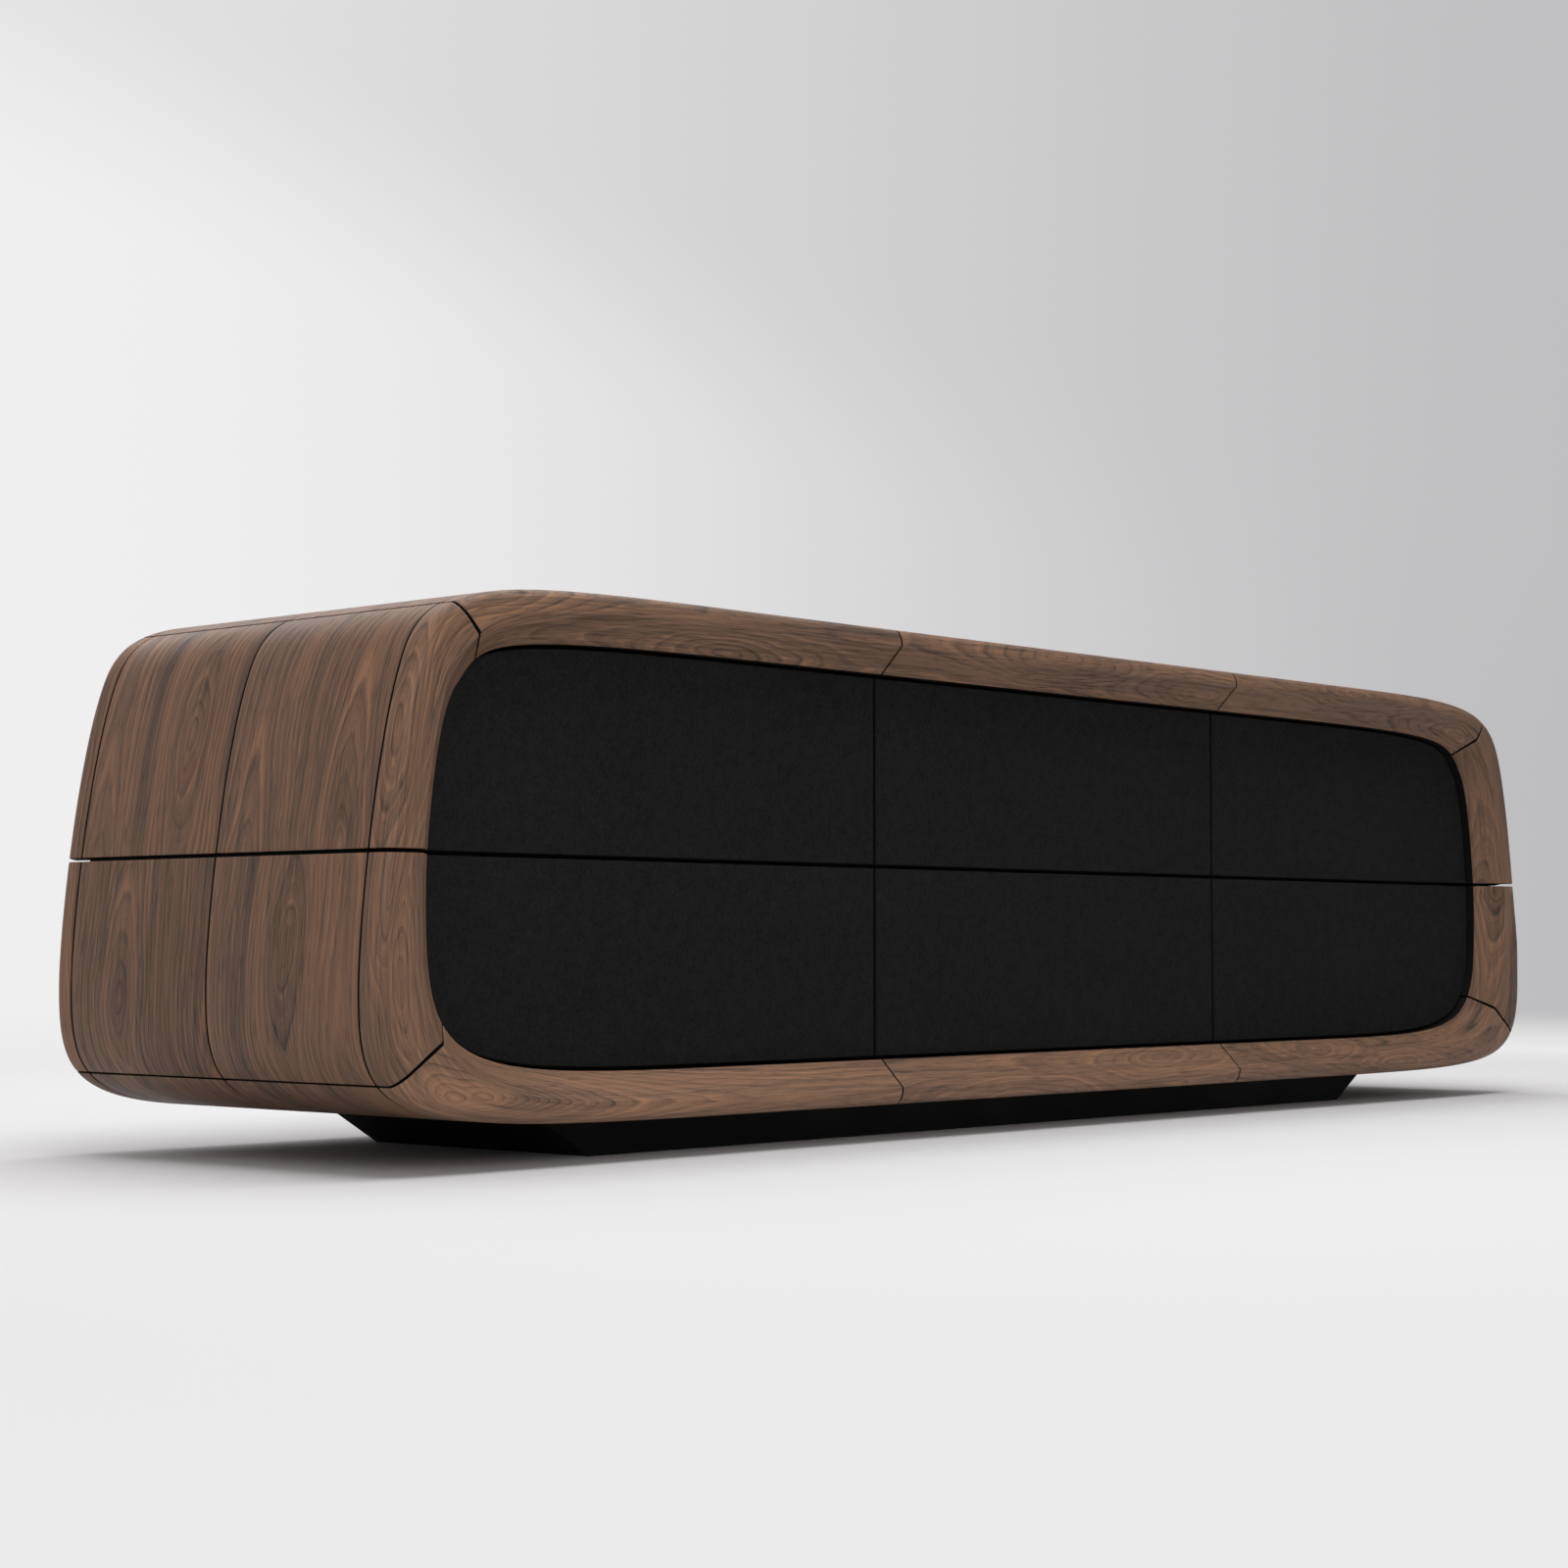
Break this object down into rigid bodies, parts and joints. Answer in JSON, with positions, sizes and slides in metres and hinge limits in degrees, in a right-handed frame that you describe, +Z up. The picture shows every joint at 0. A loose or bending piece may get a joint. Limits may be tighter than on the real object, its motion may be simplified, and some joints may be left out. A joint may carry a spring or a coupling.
{
  "type": "sideboard",
  "caption": "Low walnut sideboard with a rounded leaning shell, black handle-less push-to-open drawers in two rows and a set-back black plinth.",
  "frame": {"origin": "on the floor, under the middle of the body's box", "axes": "front faces -Y, +X along the length to the right seen from the front, +Z up"},
  "size_m": [2.209, 0.518, 0.573],
  "materials": {
    "walnut": "satin oiled walnut, grain along the rails and up the ends",
    "nubuck": "deep matte black nubuck",
    "black_board": "matte black stained board",
    "drawer_wood": "pale lacquered plywood",
    "zinc": "zinc plated steel"
  },
  "bodies": {
    "root": {"plinth": "black_board", "levelling_feet": "zinc", "base_board": "black_board", "top_board": "black_board", "side_board_left": "black_board", "side_board_right": "black_board", "partition_left": "black_board", "partition_right": "black_board", "middle_shelves": "black_board", "back_panel": "black_board", "end_formers_left": "black_board", "end_formers_right": "black_board", "gap_strip_left": "black_board", "gap_strip_right": "black_board", "front_rail_top_left": "walnut", "front_rail_top_centre": "walnut", "front_rail_top_right": "walnut", "front_rail_bottom_left": "walnut", "front_rail_bottom_centre": "walnut", "front_rail_bottom_right": "walnut", "front_upright_upper_left": "walnut", "front_upright_lower_left": "walnut", "front_upright_upper_right": "walnut", "front_upright_lower_right": "walnut", "rear_rail_top": "walnut", "rear_rail_bottom": "walnut", "rear_uprights_left": "walnut", "rear_uprights_right": "walnut", "top_panels": "walnut", "bottom_panels": "walnut", "end_panels_upper_left": "walnut", "end_panels_lower_left": "walnut", "end_panels_upper_right": "walnut", "end_panels_lower_right": "walnut", "cabinet_rails": "zinc"},
    "drawer_upper_left": {"drawer_front_upper_left": "nubuck", "drawer_box_upper_left": "drawer_wood", "drawer_rails_upper_left": "zinc"},
    "runner_upper_left": {"middle_rails_upper_left": "zinc"},
    "drawer_upper_centre": {"drawer_front_upper_centre": "nubuck", "drawer_box_upper_centre": "drawer_wood", "drawer_rails_upper_centre": "zinc"},
    "runner_upper_centre": {"middle_rails_upper_centre": "zinc"},
    "drawer_upper_right": {"drawer_front_upper_right": "nubuck", "drawer_box_upper_right": "drawer_wood", "drawer_rails_upper_right": "zinc"},
    "runner_upper_right": {"middle_rails_upper_right": "zinc"},
    "drawer_lower_left": {"drawer_front_lower_left": "nubuck", "drawer_box_lower_left": "drawer_wood", "drawer_rails_lower_left": "zinc"},
    "runner_lower_left": {"middle_rails_lower_left": "zinc"},
    "drawer_lower_centre": {"drawer_front_lower_centre": "nubuck", "drawer_box_lower_centre": "drawer_wood", "drawer_rails_lower_centre": "zinc"},
    "runner_lower_centre": {"middle_rails_lower_centre": "zinc"},
    "drawer_lower_right": {"drawer_front_lower_right": "nubuck", "drawer_box_lower_right": "drawer_wood", "drawer_rails_lower_right": "zinc"},
    "runner_lower_right": {"middle_rails_lower_right": "zinc"}
  },
  "joints": [
    {"name": "slide_upper_left", "type": "slide", "parent": "root", "child": "drawer_upper_left", "axis": [0, -1, 0], "range_m": [-0.003, 0.35]},
    {"name": "runner_slide_upper_left", "type": "slide", "parent": "root", "child": "runner_upper_left", "axis": [0, -1, 0], "range_m": [-0.0015, 0.175]},
    {"name": "slide_upper_centre", "type": "slide", "parent": "root", "child": "drawer_upper_centre", "axis": [0, -1, 0], "range_m": [-0.003, 0.35]},
    {"name": "runner_slide_upper_centre", "type": "slide", "parent": "root", "child": "runner_upper_centre", "axis": [0, -1, 0], "range_m": [-0.0015, 0.175]},
    {"name": "slide_upper_right", "type": "slide", "parent": "root", "child": "drawer_upper_right", "axis": [0, -1, 0], "range_m": [-0.003, 0.35]},
    {"name": "runner_slide_upper_right", "type": "slide", "parent": "root", "child": "runner_upper_right", "axis": [0, -1, 0], "range_m": [-0.0015, 0.175]},
    {"name": "slide_lower_left", "type": "slide", "parent": "root", "child": "drawer_lower_left", "axis": [0, -1, 0], "range_m": [-0.003, 0.35]},
    {"name": "runner_slide_lower_left", "type": "slide", "parent": "root", "child": "runner_lower_left", "axis": [0, -1, 0], "range_m": [-0.0015, 0.175]},
    {"name": "slide_lower_centre", "type": "slide", "parent": "root", "child": "drawer_lower_centre", "axis": [0, -1, 0], "range_m": [-0.003, 0.35]},
    {"name": "runner_slide_lower_centre", "type": "slide", "parent": "root", "child": "runner_lower_centre", "axis": [0, -1, 0], "range_m": [-0.0015, 0.175]},
    {"name": "slide_lower_right", "type": "slide", "parent": "root", "child": "drawer_lower_right", "axis": [0, -1, 0], "range_m": [-0.003, 0.35]},
    {"name": "runner_slide_lower_right", "type": "slide", "parent": "root", "child": "runner_lower_right", "axis": [0, -1, 0], "range_m": [-0.0015, 0.175]}
  ],
  "couplings": [
    {"joint": "runner_slide_upper_left", "follows": "slide_upper_left", "ratio": 0.5},
    {"joint": "runner_slide_upper_centre", "follows": "slide_upper_centre", "ratio": 0.5},
    {"joint": "runner_slide_upper_right", "follows": "slide_upper_right", "ratio": 0.5},
    {"joint": "runner_slide_lower_left", "follows": "slide_lower_left", "ratio": 0.5},
    {"joint": "runner_slide_lower_centre", "follows": "slide_lower_centre", "ratio": 0.5},
    {"joint": "runner_slide_lower_right", "follows": "slide_lower_right", "ratio": 0.5}
  ]
}
